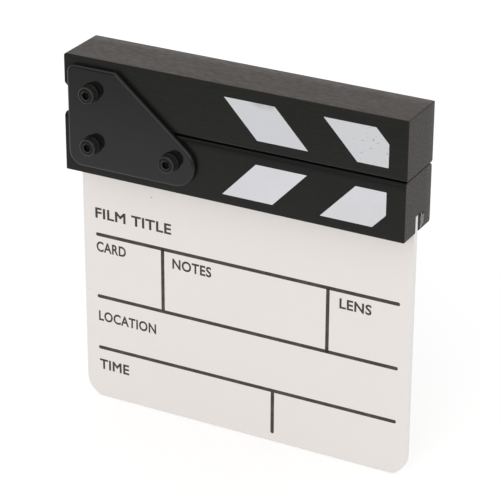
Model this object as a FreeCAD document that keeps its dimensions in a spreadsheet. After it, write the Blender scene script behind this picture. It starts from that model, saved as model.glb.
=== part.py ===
import FreeCAD, Part
import math
import os
from types import SimpleNamespace

import Sketcher

# A hand-held film slate. A white writing board is glued into a slot under a fixed wooden stick,
# and a second stick swings over it on a screw. Two steel plates, one in front and one behind,
# carry that screw and are held to the fixed stick by two more.
# The origin is the middle of the board's bottom edge. X runs right along the sticks, Y runs back
# from the printed face and Z is up.

# Driving dimensions, in millimetres
SIZES = {
    # the two clap sticks
    "stick_length": 150.0,
    "stick_depth": 24.0,
    "stick_height": 24.8,
    "stick_gap": 0.4,
    "stick_offset": 0.25,
    "stick_edge_radius": 0.4,
    "clap_edge_radius": 0.9,
    "lower_clap_radius": 1.8,
    "stick_corner_radius": 1.2,
    "heel_cut": 12.4,
    "swing_clearance": 0.15,
    # the writing board and the slot that it is glued into
    "board_inset": 0.65,
    "board_drop": 107.8,
    "board_thickness": 3.0,
    "board_corner_radius": 8.5,
    "board_edge_radius": 0.25,
    "slot_depth": 7.2,
    "glue_film": 0.2,
    "glue_bed": 0.5,
    "glue_recess": 0.3,
    # where the three screws go: from the sticks' hinge end, over the slot's roof,
    # from the left screws to the right one, and above the swinging stick's underside
    "screw_inset": 13.8,
    "screw_above_slot": 6.95,
    "screw_spacing": 36.0,
    "pivot_height": 11.2,
    # the hinge plates, measured from the screws
    "plate_thickness": 2.2,
    "plate_left": 11.2,
    "plate_below": 10.4,
    "plate_above": 10.15,
    "plate_top_reach": 11.2,
    "plate_end_reach": 10.4,
    "plate_end_radius": 9.2,
    "plate_top_radius": 3.5,
    "plate_foot_radius": 6.0,
    "plate_shoulder_radius": 2.0,
    "plate_rim_radius": 1.0,
    # the screws
    "thread_diameter": 4.0,
    "screw_stand_out": 1.1,
    "screw_tip_chamfer": 0.5,
    "head_diameter": 7.0,
    "head_height": 2.8,
    "head_chamfer": 0.5,
    "socket_across_flats": 3.0,
    "socket_depth": 1.8,
    "pivot_clearance": 0.08,
    "hole_clearance": 0.15,
    "thread_clearance": 0.05,
    # the washers
    "washer_diameter": 8.0,
    "washer_thickness": 0.5,
    "spring_washer_diameter": 7.6,
    "spring_washer_thickness": 1.2,
    "spring_washer_slit": 0.8,
    "spring_washer_lean": 0.3,
    # the nuts
    "nut_across_flats": 7.0,
    "nut_height": 3.2,
    "nut_chamfer": 0.15,
    # how far a cutting shape runs past what it cuts
    "overrun": 1.0,
}
NUT_CHAMFER_SLOPE = math.tan(math.radians(30))
SHARP_ANGLE = math.radians(5)

doc = FreeCAD.newDocument("FilmSlate")
sheet = doc.addObject("Spreadsheet::Sheet", "Sizes")
for row, (alias, number) in enumerate(SIZES.items(), start=1):
    sheet.set("A%d" % row, alias)
    sheet.set("B%d" % row, str(number))
    sheet.setAlias("B%d" % row, alias)
doc.recompute()


class Size:
    """A length, as its number and as the sheet expression that drives it."""

    def __init__(self, value, text):
        self.value = value
        self.text = text

    def __add__(self, other):
        return Size(self.value + other.value, "%s + %s" % (self.text, other.text))

    def __sub__(self, other):
        return Size(self.value - other.value, "%s - (%s)" % (self.text, other.text))

    def __mul__(self, factor):
        return Size(self.value * factor, "(%s) * (%.12g)" % (self.text, factor))

    def __truediv__(self, divisor):
        return Size(self.value / divisor, "(%s) / %.12g" % (self.text, divisor))

    def __neg__(self):
        return Size(-self.value, "-(%s)" % self.text)


ZERO = Size(0.0, "0")
S = SimpleNamespace(**{alias: Size(float(sheet.get(alias)), "Sizes." + alias) for alias in SIZES})

# Sizes and places that follow from the driving dimensions
half_length = S.stick_length / 2
half_depth = S.stick_depth / 2
upper_stick_depth = S.stick_depth - S.swing_clearance * 2
upper_stick_bottom = S.board_drop + S.stick_height + S.stick_gap

board_width = S.stick_length - S.board_inset * 2
board_height = S.board_drop + S.slot_depth - S.glue_bed
slot_width = S.board_thickness + S.glue_film * 2

screw_row_height = S.slot_depth + S.screw_above_slot
pivot_rise = S.stick_height + S.stick_gap + S.pivot_height - screw_row_height
left_screw_x = S.screw_inset - half_length
right_screw_x = left_screw_x + S.screw_spacing
screw_row_z = S.board_drop + screw_row_height
pivot_z = screw_row_z + pivot_rise

front_washer_y = -(half_depth + S.plate_thickness)
spring_washer_y = front_washer_y - S.washer_thickness
head_seat_y = spring_washer_y - S.spring_washer_thickness
rear_washer_y = half_depth + S.plate_thickness
nut_y = rear_washer_y + S.washer_thickness
screw_length = nut_y + S.nut_height + S.screw_stand_out - head_seat_y

thread_radius = S.thread_diameter / 2
pivot_bore_radius = thread_radius + S.pivot_clearance
hole_radius = thread_radius + S.hole_clearance
nut_bore_radius = thread_radius + S.thread_clearance

# Each screw's place, and the angle in degrees at which it and its nut were left
SCREWS = {
    "pivot": (left_screw_x, pivot_z, 20),
    "lower_left": (left_screw_x, screw_row_z, 75),
    "lower_right": (right_screw_x, screw_row_z, -40),
}

sub_parts = []


def bind(item, prop, size):
    """Drive a property of an object from the sheet."""
    item.setExpression(prop, size.text)


def place(item, label, x=ZERO, y=ZERO, z=ZERO, turn=0):
    """Name a finished sub-part and put it where it belongs, turned about its own Y axis."""
    item.Label = label
    item.Placement.Rotation = FreeCAD.Rotation(FreeCAD.Vector(0, 1, 0), turn)
    for axis, size in zip("xyz", (x, y, z)):
        bind(item, "Placement.Base." + axis, size)
    sub_parts.append(item)


def new_body(label):
    return doc.addObject("PartDesign::Body", label + "_body")


def new_sketch(body, plane):
    sketch = body.newObject("Sketcher::SketchObject", "Sketch")
    support = next(item for item in body.Origin.OriginFeatures if item.Role == plane)
    sketch.AttachmentSupport = (support, [""])
    sketch.MapMode = "FlatFace"
    return sketch


def dimension(sketch, kind, where, size):
    """Add a driving dimension whose value comes from the sheet."""
    index = sketch.addConstraint(Sketcher.Constraint(kind, *where, size.value))
    bind(sketch, "Constraints[%d]" % index, size)


def ordinate(sketch, element, point, across, up):
    """Hold one point of an element at a distance across and up from the sketch's origin."""
    for kind, axis, size in (("DistanceX", -2, across), ("DistanceY", -1, up)):
        if size is ZERO:
            sketch.addConstraint(Sketcher.Constraint("PointOnObject", element, point, axis))
        else:
            dimension(sketch, kind, (-1, 1, element, point), size)


def draw_polygon(sketch, corners):
    """Closed outline of straight lines, with each corner held by its two ordinates."""
    points = [FreeCAD.Vector(across.value, up.value, 0) for across, up in corners]
    lines = [
        sketch.addGeometry(Part.LineSegment(start, end), False)
        for start, end in zip(points, points[1:] + points[:1])
    ]
    for line, following in zip(lines, lines[1:] + lines[:1]):
        sketch.addConstraint(Sketcher.Constraint("Coincident", line, 2, following, 1))
    for line, (across, up) in zip(lines, corners):
        ordinate(sketch, line, 1, across, up)


def draw_hexagon(sketch, across_flats):
    """Regular hexagon with two corners on the sketch's first axis."""
    reach = across_flats / math.sqrt(3)
    corners = []
    for turn in range(6):
        angle = math.radians(60 * turn)
        up = reach * math.sin(angle) if turn % 3 else ZERO
        corners.append((reach * math.cos(angle), up))
    draw_polygon(sketch, corners)


def draw_circle(sketch, radius, across=ZERO, up=ZERO):
    centre = FreeCAD.Vector(across.value, up.value, 0)
    circle = sketch.addGeometry(Part.Circle(centre, FreeCAD.Vector(0, 0, 1), radius.value), False)
    ordinate(sketch, circle, 3, across, up)
    dimension(sketch, "Radius", (circle,), radius)


def pad(body, sketch, length, side="One side", backwards=False):
    """Thicken a sketch. From the XZ plane that goes to the front, unless it is turned backwards."""
    feature = body.newObject("PartDesign::Pad", "Pad")
    feature.Profile = sketch
    feature.SideType = side
    feature.Reversed = backwards
    bind(feature, "Length", length)
    doc.recompute()


def cut(body, sketch, side="One side", depth=None):
    """Cut a sketch into the body to a depth, or right through it, and see that it took material."""
    before = body.Shape.Volume
    feature = body.newObject("PartDesign::Pocket", "Cut")
    feature.Profile = sketch
    feature.SideType = side
    if depth:
        bind(feature, "Length", depth)
    else:
        feature.Type = "ThroughAll"
    doc.recompute()
    if body.Shape.Volume >= before:
        raise RuntimeError("nothing was cut from " + body.Name)


def revolve(body, sketch, kind):
    """Turn a profile about the body's Y axis, as new material or as a cut."""
    feature = body.newObject(kind, "Turned")
    feature.Profile = sketch
    feature.ReferenceAxis = (sketch, ["V_Axis"])
    feature.Angle = 360
    doc.recompute()


def round_edges(body, radius, wanted):
    """Round the edges of the body that the test picks."""
    base = body.Tip
    names = ["Edge%d" % number for number, edge in enumerate(base.Shape.Edges, start=1) if wanted(edge)]
    feature = body.newObject("PartDesign::Fillet", "Rounded")
    feature.Base = (base, names)
    bind(feature, "Radius", radius)
    doc.recompute()


def near(first, second):
    """True where two places are the same, to a thousandth of the sticks' edge radius."""
    return abs(first - second) < S.stick_edge_radius.value / 1000


def corner_edge(x, z):
    """Test for the edge that runs back from a corner of an outline."""

    def wanted(edge):
        box = edge.BoundBox
        runs_back = near(box.XMin, box.XMax) and near(box.ZMin, box.ZMax)
        return runs_back and near(box.XMin, x.value) and near(box.ZMin, z.value)

    return wanted


def long_edge(z, y=None):
    """Test for the edges that run along the stick at one height, or for the one at one depth too."""

    def wanted(edge):
        box = edge.BoundBox
        runs_along = near(box.ZMin, z.value) and near(box.ZMax, z.value) and near(box.YMin, box.YMax)
        return runs_along and (y is None or near(box.YMin, y.value))

    return wanted


def face_edge(y):
    """Test for the edges of the face at one depth."""
    return lambda edge: near(edge.BoundBox.YMin, y.value) and near(edge.BoundBox.YMax, y.value)


def sharp_edge(body):
    """Test for the edges where two faces meet at an angle, which leaves out the rims of a rounding."""
    shape = body.Tip.Shape

    def wanted(edge):
        middle = edge.valueAt(sum(edge.ParameterRange) / 2)
        faces = shape.ancestorsOfType(edge, Part.Face)
        first, second = [face.normalAt(*face.Surface.parameter(middle)) for face in faces]
        return first.getAngle(second) > SHARP_ANGLE

    return wanted


def make_lower_stick():
    """Fixed stick: a bar with the board's slot along its underside and two screw holes.

    It sits a little to the left of the swinging stick, and its screw holes make up for that.
    The edges that meet in the clap are rounder than the others, and so is the one behind the board.
    """
    body = new_body("lower_stick")
    section = new_sketch(body, "YZ_Plane")
    draw_polygon(section, [
        (-half_depth, ZERO),
        (half_depth, ZERO),
        (half_depth, S.stick_height),
        (-half_depth, S.stick_height),
    ])
    pad(body, section, S.stick_length, "Symmetric")
    round_edges(body, S.lower_clap_radius, long_edge(S.stick_height))
    round_edges(body, S.stick_corner_radius, long_edge(ZERO, half_depth))
    round_edges(body, S.stick_edge_radius, sharp_edge(body))
    slot = new_sketch(body, "YZ_Plane")
    half_slot = slot_width / 2
    draw_polygon(slot, [
        (-half_slot, -S.overrun),
        (half_slot, -S.overrun),
        (half_slot, S.slot_depth),
        (-half_slot, S.slot_depth),
    ])
    cut(body, slot, "Symmetric")
    holes = new_sketch(body, "XZ_Plane")
    for across in (left_screw_x, right_screw_x):
        draw_circle(holes, hole_radius, across + S.stick_offset, screw_row_height)
    cut(body, holes, "Symmetric")
    place(body, "lower_stick", x=-S.stick_offset, z=S.board_drop)


def make_upper_stick():
    """Swinging stick: its heel is cut off below the hinge end, so that it can turn up."""
    body = new_body("upper_stick")
    outline = new_sketch(body, "XZ_Plane")
    draw_polygon(outline, [
        (S.heel_cut - half_length, ZERO),
        (half_length, ZERO),
        (half_length, S.stick_height),
        (-half_length, S.stick_height),
        (-half_length, S.heel_cut),
    ])
    pad(body, outline, upper_stick_depth, "Symmetric")
    round_edges(body, S.stick_corner_radius, corner_edge(-half_length, S.stick_height))
    round_edges(body, S.clap_edge_radius, long_edge(ZERO))
    round_edges(body, S.stick_edge_radius, sharp_edge(body))
    bore = new_sketch(body, "XZ_Plane")
    draw_circle(bore, pivot_bore_radius, left_screw_x, S.pivot_height)
    cut(body, bore, "Symmetric")
    place(body, "upper_stick", z=upper_stick_bottom)


def make_slate_board():
    """Writing board with its bottom corners rounded and its edges eased."""
    body = new_body("slate_board")
    half_width = board_width / 2
    outline = new_sketch(body, "XZ_Plane")
    draw_polygon(outline, [
        (-half_width, ZERO),
        (half_width, ZERO),
        (half_width, board_height),
        (-half_width, board_height),
    ])
    pad(body, outline, S.board_thickness, "Symmetric")
    for side in (-half_width, half_width):
        round_edges(body, S.board_corner_radius, corner_edge(side, ZERO))
    round_edges(body, S.board_edge_radius, sharp_edge(body))
    place(body, "slate_board")


def make_board_adhesive():
    """Glue bed: what is left of the slot around the board, a little short of the slot's mouth."""
    bed_height = S.slot_depth - S.glue_recess
    bed = doc.addObject("Part::Box", "GlueInSlot")
    tongue = doc.addObject("Part::Box", "BoardInSlot")
    for box, length, width, height, z in (
        (bed, board_width, slot_width, bed_height, ZERO),
        (
            tongue,
            board_width + S.overrun * 2,
            S.board_thickness,
            S.overrun + bed_height - S.glue_bed,
            -S.overrun,
        ),
    ):
        bind(box, "Length", length)
        bind(box, "Width", width)
        bind(box, "Height", height)
        bind(box, "Placement.Base.x", -(length / 2))
        bind(box, "Placement.Base.y", -(width / 2))
        bind(box, "Placement.Base.z", z)
    glue = doc.addObject("Part::Cut", "Glue")
    glue.Base = bed
    glue.Tool = tongue
    place(glue, "board_adhesive", z=S.board_drop + S.glue_recess)


def draw_plate(sketch, left, bottom, shoulder, top):
    """Hinge plate's outline about the lower left screw, with a slanting side tangent to its round end."""
    radius = S.plate_end_radius.value
    end_x = S.screw_spacing + S.plate_end_reach - S.plate_end_radius
    centre = FreeCAD.Vector(end_x.value, bottom.value + radius, 0)
    shoulder_corner = FreeCAD.Vector(shoulder.value, top.value, 0)
    to_centre = centre - shoulder_corner
    slant = math.atan2(to_centre.y, to_centre.x) + math.asin(radius / to_centre.Length)
    outward = slant + math.pi / 2
    slant_end = centre + FreeCAD.Vector(math.cos(outward), math.sin(outward), 0) * radius
    foot_corner = FreeCAD.Vector(left.value, bottom.value, 0)
    foot_end = FreeCAD.Vector(end_x.value, bottom.value, 0)
    top_corner = FreeCAD.Vector(left.value, top.value, 0)
    circle = Part.Circle(centre, FreeCAD.Vector(0, 0, 1), radius)

    foot_line = sketch.addGeometry(Part.LineSegment(foot_corner, foot_end), False)
    round_end = sketch.addGeometry(Part.ArcOfCircle(circle, -math.pi / 2, outward), False)
    slant_line = sketch.addGeometry(Part.LineSegment(slant_end, shoulder_corner), False)
    top_line = sketch.addGeometry(Part.LineSegment(shoulder_corner, top_corner), False)
    left_line = sketch.addGeometry(Part.LineSegment(top_corner, foot_corner), False)
    sketch.addConstraint([
        Sketcher.Constraint("Tangent", foot_line, 2, round_end, 1),
        Sketcher.Constraint("Tangent", round_end, 2, slant_line, 1),
        Sketcher.Constraint("Coincident", slant_line, 2, top_line, 1),
        Sketcher.Constraint("Coincident", top_line, 2, left_line, 1),
        Sketcher.Constraint("Coincident", left_line, 2, foot_line, 1),
        Sketcher.Constraint("Horizontal", foot_line),
        Sketcher.Constraint("Horizontal", top_line),
        Sketcher.Constraint("Vertical", left_line),
    ])
    ordinate(sketch, foot_line, 1, left, bottom)
    ordinate(sketch, top_line, 1, shoulder, top)
    dimension(sketch, "DistanceX", (-1, 1, round_end, 3), end_x)
    dimension(sketch, "Radius", (round_end,), S.plate_end_radius)


def make_hinge_plate(label, y, faces_back):
    """Steel plate with three screw holes, its outer rim rounded over."""
    body = new_body(label)
    left = -S.plate_left
    bottom = -S.plate_below
    shoulder = S.plate_top_reach
    top = pivot_rise + S.plate_above
    outline = new_sketch(body, "XZ_Plane")
    draw_plate(outline, left, bottom, shoulder, top)
    pad(body, outline, S.plate_thickness, backwards=faces_back)
    round_edges(body, S.plate_top_radius, corner_edge(left, top))
    round_edges(body, S.plate_foot_radius, corner_edge(left, bottom))
    round_edges(body, S.plate_shoulder_radius, corner_edge(shoulder, top))
    outer_face = S.plate_thickness if faces_back else -S.plate_thickness
    round_edges(body, S.plate_rim_radius, face_edge(outer_face))
    holes = new_sketch(body, "XZ_Plane")
    draw_circle(holes, hole_radius)
    draw_circle(holes, hole_radius, across=S.screw_spacing)
    draw_circle(holes, hole_radius, up=pivot_rise)
    cut(body, holes, "Symmetric")
    place(body, label, left_screw_x, y, screw_row_z)


def make_screw(label, x, z, turn):
    """Low-head socket screw, lying along Y with its head's seat at its own origin."""
    body = new_body(label)
    head_radius = S.head_diameter / 2
    profile = new_sketch(body, "XY_Plane")
    draw_polygon(profile, [
        (ZERO, -S.head_height),
        (head_radius - S.head_chamfer, -S.head_height),
        (head_radius, S.head_chamfer - S.head_height),
        (head_radius, ZERO),
        (thread_radius, ZERO),
        (thread_radius, screw_length - S.screw_tip_chamfer),
        (thread_radius - S.screw_tip_chamfer, screw_length),
        (ZERO, screw_length),
    ])
    revolve(body, profile, "PartDesign::Revolution")
    socket = new_sketch(body, "XZ_Plane")
    bind(socket, "AttachmentOffset.Base.z", S.head_height)
    draw_hexagon(socket, S.socket_across_flats)
    cut(body, socket, depth=S.socket_depth)
    place(body, label, x, head_seat_y, z, turn)


def make_washer(label, x, y, z, backwards=False):
    """Flat washer. It lies in front of its place along Y, or behind it."""
    body = new_body(label)
    ring = new_sketch(body, "XZ_Plane")
    draw_circle(ring, S.washer_diameter / 2)
    draw_circle(ring, hole_radius)
    pad(body, ring, S.washer_thickness, backwards=backwards)
    place(body, label, x, y, z)


def make_spring_washer(label, x, z, turn):
    """Lock washer pressed flat under a screw's head, split on one side by a leaning slit."""
    body = new_body(label)
    ring = new_sketch(body, "XZ_Plane")
    draw_circle(ring, S.spring_washer_diameter / 2)
    draw_circle(ring, hole_radius)
    pad(body, ring, S.spring_washer_thickness)
    half_slit = S.spring_washer_slit / 2
    back = S.overrun
    front = -(S.spring_washer_thickness + S.overrun)
    slit = new_sketch(body, "YZ_Plane")
    draw_polygon(slit, [
        (back, -(half_slit + S.spring_washer_lean)),
        (back, half_slit - S.spring_washer_lean),
        (front, half_slit + S.spring_washer_lean),
        (front, S.spring_washer_lean - half_slit),
    ])
    cut(body, slit)
    place(body, label, x, spring_washer_y, z, turn)


def make_nut(label, x, z, turn):
    """Hexagon nut behind the rear plate, with the corners of its outer face turned off."""
    body = new_body(label)
    outline = new_sketch(body, "XZ_Plane")
    draw_hexagon(outline, S.nut_across_flats)
    draw_circle(outline, nut_bore_radius)
    pad(body, outline, S.nut_height, backwards=True)
    inner = S.nut_across_flats / 2 - S.nut_chamfer
    outer = S.nut_across_flats
    corner = new_sketch(body, "XY_Plane")
    draw_polygon(corner, [
        (inner, S.nut_height),
        (outer, S.nut_height - (outer - inner) * NUT_CHAMFER_SLOPE),
        (outer, S.nut_height + S.overrun),
        (inner, S.nut_height + S.overrun),
    ])
    revolve(body, corner, "PartDesign::Groove")
    place(body, label, x, nut_y, z, turn)


make_lower_stick()
make_upper_stick()
make_slate_board()
make_board_adhesive()
make_hinge_plate("front_hinge_plate", -half_depth, faces_back=False)
make_hinge_plate("rear_hinge_plate", half_depth, faces_back=True)
for name, (x, z, turn) in SCREWS.items():
    make_screw(name + "_screw", x, z, turn)
    make_spring_washer(name + "_spring_washer", x, z, turn)
    make_washer(name + "_front_washer", x, front_washer_y, z)
    make_washer(name + "_rear_washer", x, rear_washer_y, z, backwards=True)
    make_nut(name + "_nut", x, z, turn)
doc.recompute()

for item in doc.Objects:
    if "Invalid" in item.State or "Error" in item.State:
        raise RuntimeError("%s failed: %s" % (item.Name, item.State))
for item in sub_parts:
    if item.Shape.isNull() or not item.Shape.isValid():
        raise RuntimeError(item.Label + " has no valid shape")

os.makedirs("parts", exist_ok=True)
for item in sub_parts:
    item.Shape.exportStep("parts/%s.step" % item.Label)
    print("%s: %d solid, %.2f mm3" % (item.Label, len(item.Shape.Solids), item.Shape.Volume))
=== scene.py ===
# %% [markdown]
# This lesson dresses a small clapperboard: a white writing board glued under a black wooden stick, and
# a second striped stick that swings above it between two steel plates. Its construction is already
# there as separate solids in real sizes. What Blender adds is how they look: paint, powder coat, ink
# and plastic, and the small fasteners with their knurls, slits and threads.
# Everything stays in metres in the frame of the solids, so a size in millimetres is multiplied by MM.
# X runs along the sticks away from the hinge, Y goes back from the written face and Z goes up from the
# bottom edge of the board.

# %% Load the solids and keep their box
import math

import bmesh
import bpy
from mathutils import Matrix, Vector


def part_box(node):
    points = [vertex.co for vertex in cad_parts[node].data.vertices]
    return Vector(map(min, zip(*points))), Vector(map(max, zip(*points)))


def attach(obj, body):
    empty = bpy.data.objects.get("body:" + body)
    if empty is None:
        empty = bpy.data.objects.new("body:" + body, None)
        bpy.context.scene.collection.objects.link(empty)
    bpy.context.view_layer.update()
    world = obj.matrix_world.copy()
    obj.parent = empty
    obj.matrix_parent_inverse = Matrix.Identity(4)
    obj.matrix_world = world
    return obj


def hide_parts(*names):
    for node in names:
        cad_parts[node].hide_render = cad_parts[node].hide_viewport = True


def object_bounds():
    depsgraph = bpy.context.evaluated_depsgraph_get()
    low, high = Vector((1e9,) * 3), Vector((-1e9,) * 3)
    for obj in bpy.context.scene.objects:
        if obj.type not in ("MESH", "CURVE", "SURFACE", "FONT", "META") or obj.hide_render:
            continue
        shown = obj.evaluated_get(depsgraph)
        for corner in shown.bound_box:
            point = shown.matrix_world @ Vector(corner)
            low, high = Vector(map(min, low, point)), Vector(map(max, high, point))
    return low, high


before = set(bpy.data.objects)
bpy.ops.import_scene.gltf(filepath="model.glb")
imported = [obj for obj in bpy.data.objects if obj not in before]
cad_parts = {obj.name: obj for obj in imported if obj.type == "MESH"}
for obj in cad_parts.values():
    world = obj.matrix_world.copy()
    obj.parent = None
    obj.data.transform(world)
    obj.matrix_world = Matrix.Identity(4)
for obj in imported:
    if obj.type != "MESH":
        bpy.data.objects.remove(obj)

MM = 0.001
cad_low, cad_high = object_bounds()
print("loaded", len(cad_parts), "solids, box in mm", [round(v / MM, 2) for v in (*cad_low, *cad_high)])

# %% [markdown]
# The camera. A small product is photographed from some way off with a long lens, so that its parallel
# edges stay nearly parallel. Here it looks down at the board from the right. The place and the angles
# could be found by trial, but they are worked out from the corners and edges of the sticks and the
# board, so that the picture and the model share one perspective.

# %% Place the camera
CAMERA_PLACE = (393.74 * MM, -741.23 * MM, 482.93 * MM)
CAMERA_ANGLES = (64.543, -0.261, 27.941)
CAMERA_LENS = 167.36
SENSOR_WIDTH = 36.0

bpy.ops.object.select_all(action="DESELECT")
bpy.ops.object.camera_add(location=CAMERA_PLACE, rotation=[math.radians(a) for a in CAMERA_ANGLES])
camera = bpy.context.object
camera.name = "product_camera"
camera.data.lens = CAMERA_LENS
camera.data.sensor_width = SENSOR_WIDTH
bpy.context.scene.camera = camera
bpy.context.scene.view_settings.view_transform = "Standard"
print("camera stands", round(camera.location.length, 3), "m from the bottom edge, lens", CAMERA_LENS, "mm")

# %% [markdown]
# Wires. A finish is a sum of small things: grain plus pores, gloss minus wear. In the node editor each
# plus sign is a Math node and a noodle. In Python the sum can be written as a sum if one small class
# stands for a socket and answers to the signs, so a finish reads like a recipe. Everything that isn't
# a sign, such as a noise, a ramp or the shader itself, comes from the one method called node.

# %% A class for sockets
class Wire:
    """The output of a shader node. A sum or a product of wires adds Math nodes to the tree."""

    def __init__(self, nodes, socket):
        self.nodes = nodes
        self.socket = socket

    def _math(self, operation, first, second):
        return self.nodes.node("ShaderNodeMath", {"operation": operation}, {0: first, 1: second})

    def __add__(self, other):
        return self._math("ADD", self, other)

    def __radd__(self, other):
        return self._math("ADD", other, self)

    def __sub__(self, other):
        return self._math("SUBTRACT", self, other)

    def __rsub__(self, other):
        return self._math("SUBTRACT", other, self)

    def __mul__(self, other):
        return self._math("MULTIPLY", self, other)

    def __rmul__(self, other):
        return self._math("MULTIPLY", other, self)

    def __abs__(self):
        return self._math("ABSOLUTE", self, 0.0)


print("wires answer to + - * and abs")


# %% A class for node trees
class Nodes:
    """A node tree that is emptied and then filled node by node."""

    def __init__(self, owner):
        owner.use_nodes = True
        self.tree = owner.node_tree
        self.tree.nodes.clear()

    def node(self, kind, settings=None, inputs=None, output=None):
        """Adds a node: its settings first, then the values or wires of its sockets. Gives one output."""
        made = self.tree.nodes.new(kind)
        for name, value in (settings or {}).items():
            setattr(made, name, value)
        for name, value in (inputs or {}).items():
            socket = made.inputs[name] if isinstance(name, int) else self._named(made.inputs, name)
            if isinstance(value, Wire):
                self.tree.links.new(value.socket, socket)
            else:
                socket.default_value = value
        shown = [s for s in made.outputs if s.enabled]
        if not shown:
            return made
        return Wire(self, self._named(shown, output) if output else shown[0])

    def _named(self, sockets, name):
        return next(s for s in sockets if s.enabled and s.name == name)

    def colour_between(self, share, low, high):
        """A colour that goes from low to high as share goes from 0 to 1."""
        return self.node("ShaderNodeMix", {"data_type": "RGBA"}, {"Factor": share, "A": low, "B": high})

    def ramp(self, value, low, high):
        """0 below low, 1 above high, and a soft step between them."""
        steps = {"Value": value, "From Min": low, "From Max": high}
        return self.node("ShaderNodeMapRange", {"interpolation_type": "SMOOTHSTEP"}, steps)

    def noise(self, place, per_metre, detail=2.0):
        """Noise with that many grains to the metre along X, Y and Z."""
        scaled = self.node("ShaderNodeVectorMath", {"operation": "MULTIPLY"}, {0: place, 1: per_metre})
        return self.node("ShaderNodeTexNoise", {}, {"Vector": scaled, "Scale": 1.0, "Detail": detail})

    def facing(self):
        """Which way the surface faces, in the piece's own space."""
        return self.node("ShaderNodeTexCoord", output="Normal")

    def bump(self, height, depth, strength):
        """A normal that is roughened as if the surface were that deep where height is 1."""
        return self.node("ShaderNodeBump", {}, {"Height": height, "Distance": depth, "Strength": strength})

    def surface(self, colour, roughness, mirror, normal, **others):
        """The shader of a solid surface. Mirror says how strongly it reflects, and 0.5 is usual."""
        inputs = {
            "Base Color": colour,
            "Roughness": roughness,
            "Specular IOR Level": mirror,
            "Normal": normal,
            **others,
        }
        return self.node("ShaderNodeBsdfPrincipled", {}, inputs)


def rgb(red, green, blue):
    """A colour that isn't see-through."""
    return (red, green, blue, 1.0)


print("node trees know colours, ramps, noises, bumps and surfaces")

# %% [markdown]
# The studio. The slate stands on a pale sheet with white all round it. A white room could be made by
# flooding the slate with light, but then its own colours would wash out. So the light on it stays at a
# plain level, and Light Path tells the world which rays only look: what the camera, a reflection or a
# clear surface sees is full white, and what lights the slate is softer.
# A studio is white behind its subject and overhead, and open towards the photographer. Black paint is
# black because it mirrors that open side, so reflections find the room greyer there, low in front.

# %% Tell the rays apart
def glossy_rays(nodes):
    """1 for rays that leave a shiny surface, 0 for all others."""
    return nodes.node("ShaderNodeLightPath", output="Is Glossy Ray")


def looking_rays(nodes):
    """1 for rays that only look at a surface, 0 for rays that carry light to another one."""
    camera_ray = nodes.node("ShaderNodeLightPath", output="Is Camera Ray")
    clear_ray = nodes.node("ShaderNodeLightPath", output="Is Transmission Ray")
    return 1.0 - (1.0 - camera_ray) * (1.0 - glossy_rays(nodes)) * (1.0 - clear_ray)


def along(nodes, vector, axis):
    """One part of a vector, such as its Z."""
    return nodes.node("ShaderNodeSeparateXYZ", {}, {"Vector": vector}, axis)


print("rays that look are told from rays that light")

# %% Light the room
ROOM_LIGHT = 0.75
ROOM_WHITE = 1.0
OPEN_SIDE_GREY = 0.25
IN_FRONT = (0.1, 0.6)
OVERHEAD = (0.3, 0.7)
WHITE = rgb(1.0, 1.0, 1.0)
BLACK = rgb(0.0, 0.0, 0.0)

room = bpy.data.worlds.new("white_room")
bpy.context.scene.world = room
room_nodes = Nodes(room)
way = room_nodes.node("ShaderNodeTexCoord", output="Generated")
in_front = room_nodes.ramp(-1.0 * along(room_nodes, way, "Y"), *IN_FRONT)
overhead = room_nodes.ramp(along(room_nodes, way, "Z"), *OVERHEAD)
open_side = in_front * (1.0 - overhead) * glossy_rays(room_nodes)
room_strength = ROOM_LIGHT + (ROOM_WHITE - ROOM_LIGHT) * looking_rays(room_nodes)
room_strength = room_strength - (ROOM_WHITE - OPEN_SIDE_GREY) * open_side
room_glow = room_nodes.node("ShaderNodeBackground", {}, {"Color": WHITE, "Strength": room_strength})
room_nodes.node("ShaderNodeOutputWorld", {}, {"Surface": room_glow})
print("room lights at", ROOM_LIGHT, "and is seen at", ROOM_WHITE)

# %% [markdown]
# Two big soft lamps do the modelling. One is a long strip low in front, so that the lower stick hardly
# shades the board that hangs behind it. The other is a broad soft box at the back: the camera sees its
# mirror image in the top of the upper stick, which is why black paint looks grey there and shows its
# grain.
# A lamp's brightness to the eye is its power over pi and its area, so the power is worked out from the
# brightness that is wanted.

# %% Hang the lamps
FRONT_LAMP_PLACE = Vector((0.35, -2.0, 0.5))
FRONT_LAMP_SIZE = (2.4, 0.9)
FRONT_LAMP_BRIGHTNESS = 2.1
BACK_LAMP_PLACE = Vector((-0.75, 1.3, 0.95))
BACK_LAMP_SIZE = (1.5, 1.5)
BACK_LAMP_BRIGHTNESS = 0.18
LAMP_AIM = Vector((0.0, 0.0, 0.1))


def hang_lamp(name, place, size, brightness):
    """A soft lamp that faces the slate and isn't seen itself."""
    bpy.ops.object.select_all(action="DESELECT")
    turned = (LAMP_AIM - place).to_track_quat("-Z", "Y").to_euler()
    bpy.ops.object.light_add(type="AREA", location=place, rotation=turned)
    lamp = bpy.context.object
    lamp.name = name
    lamp.data.shape = "RECTANGLE"
    lamp.data.size, lamp.data.size_y = size
    lamp.data.energy = brightness * math.pi * size[0] * size[1]
    lamp.visible_camera = False
    print(name, "gives", round(lamp.data.energy, 2), "W")


hang_lamp("front_lamp", FRONT_LAMP_PLACE, FRONT_LAMP_SIZE, FRONT_LAMP_BRIGHTNESS)
hang_lamp("back_lamp", BACK_LAMP_PLACE, BACK_LAMP_SIZE, BACK_LAMP_BRIGHTNESS)

# %% [markdown]
# The sheet that the slate stands on is matt and nearly white. Looking rays get a little more from it,
# so that it runs into the white room without a horizon. It still takes the shadow of the slate. To a
# reflection it gets darker towards the open side, as the room does.

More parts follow.
